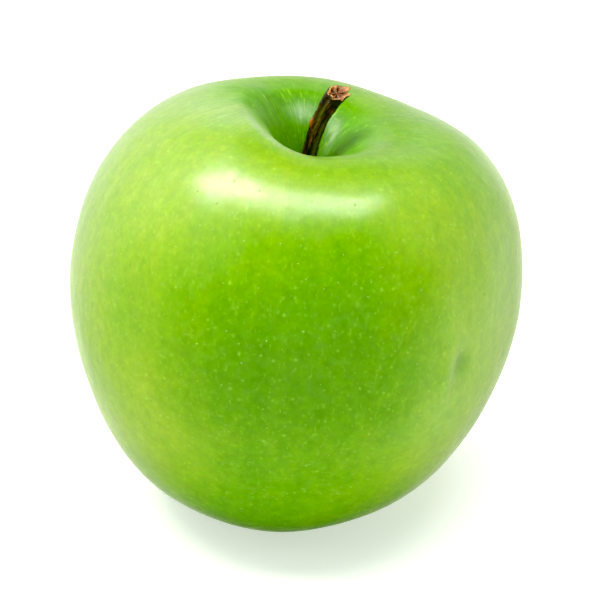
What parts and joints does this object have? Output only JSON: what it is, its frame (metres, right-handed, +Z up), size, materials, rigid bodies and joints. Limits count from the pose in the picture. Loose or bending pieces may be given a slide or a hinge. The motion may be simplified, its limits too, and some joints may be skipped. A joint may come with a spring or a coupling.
{
  "type": "green apple",
  "caption": "Whole fresh green apple as picked, softly five-lobed, with its woody stem in a deep cavity and a dried calyx underneath, resting on small flat spots.",
  "frame": {"origin": "on the resting plane, under the middle of the apple's bounding box with its stem", "axes": "+Z up along the core, -Y towards the cheek with the lowest cavity rim, +X to its right, where the stem leans and the dimple is"},
  "size_m": [0.078, 0.078, 0.0748],
  "materials": {
    "skin": "smooth waxy green apple skin, lighter and yellower on its sunny shoulder, with tiny pale lenticels",
    "bark": "dry dark brown ridged bark, with a torn tan end",
    "sepal": "dry, matt, downy grey-green to brown sepals and stamens"
  },
  "bodies": {
    "root": {"fruit": "skin", "stem": "bark", "calyx": "sepal"}
  },
  "joints": []
}
